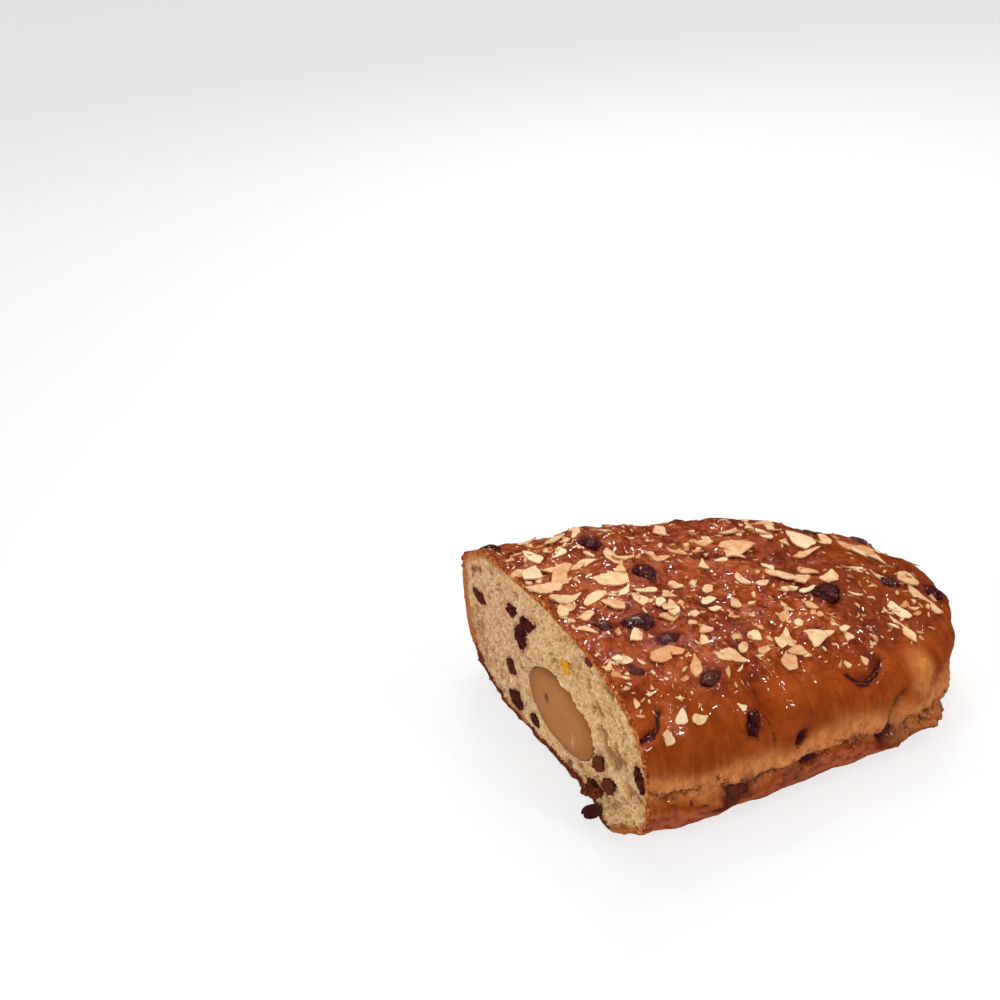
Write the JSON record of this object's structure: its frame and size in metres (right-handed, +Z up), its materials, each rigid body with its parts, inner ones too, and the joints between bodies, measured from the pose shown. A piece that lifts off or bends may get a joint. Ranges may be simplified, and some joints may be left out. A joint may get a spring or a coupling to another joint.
{
  "type": "stollen",
  "caption": "Cut stollen: a sweet fruit loaf, rounded and whole at one end and cut straight at the other, with a roll of almond paste, raisins, peel and flaked almonds.",
  "frame": {"origin": "middle of the base of the loaf's bounding box, on the surface the loaf rests on", "axes": "+X along the loaf from the cut face to the whole end, +Y across the loaf to its far flank, +Z up"},
  "size_m": [0.1698, 0.1412, 0.0698],
  "materials": {
    "crust": "egg-washed baked crust, reddish brown on the crown and paler over the seam, glossy",
    "crumb": "open cream-yellow bread crumb, matte",
    "almond_paste": "smooth dense almond paste, slightly moist",
    "raisin": "wrinkled dark raisin, half gloss",
    "candied_peel": "candied peel, amber and translucent",
    "flaked_almond": "flaked almond, cream with tan edges, satin"
  },
  "bodies": {
    "root": {"almond_paste": "almond_paste", "loaf": "crust", "peel_crust": "candied_peel", "peel_cut": "candied_peel", "raisin_crust_01": "raisin", "raisin_crust_02": "raisin", "raisin_crust_03": "raisin", "raisin_crust_04": "raisin", "raisin_crust_05": "raisin", "raisin_crust_06": "raisin", "raisin_crust_07": "raisin", "raisin_crust_08": "raisin", "raisin_crust_09": "raisin", "raisin_crust_10": "raisin", "raisin_crust_11": "raisin", "raisin_crust_12": "raisin", "raisin_crust_13": "raisin", "raisin_crust_14": "raisin", "raisin_crust_15": "raisin", "raisin_crust_16": "raisin", "raisin_crust_17": "raisin", "raisin_crust_18": "raisin", "raisin_crust_19": "raisin", "raisin_crust_20": "raisin", "raisin_crust_21": "raisin", "raisin_crust_22": "raisin", "raisin_crust_23": "raisin", "raisin_cut_01": "raisin", "raisin_cut_02": "raisin", "raisin_cut_03": "raisin", "raisin_cut_04": "raisin", "raisin_cut_05": "raisin", "raisin_cut_06": "raisin", "raisin_cut_07": "raisin", "raisin_cut_08": "raisin", "raisin_cut_09": "raisin", "raisin_cut_10": "raisin", "raisin_cut_loose": "raisin", "raisin_cut_pair": "raisin"}
  },
  "joints": []
}
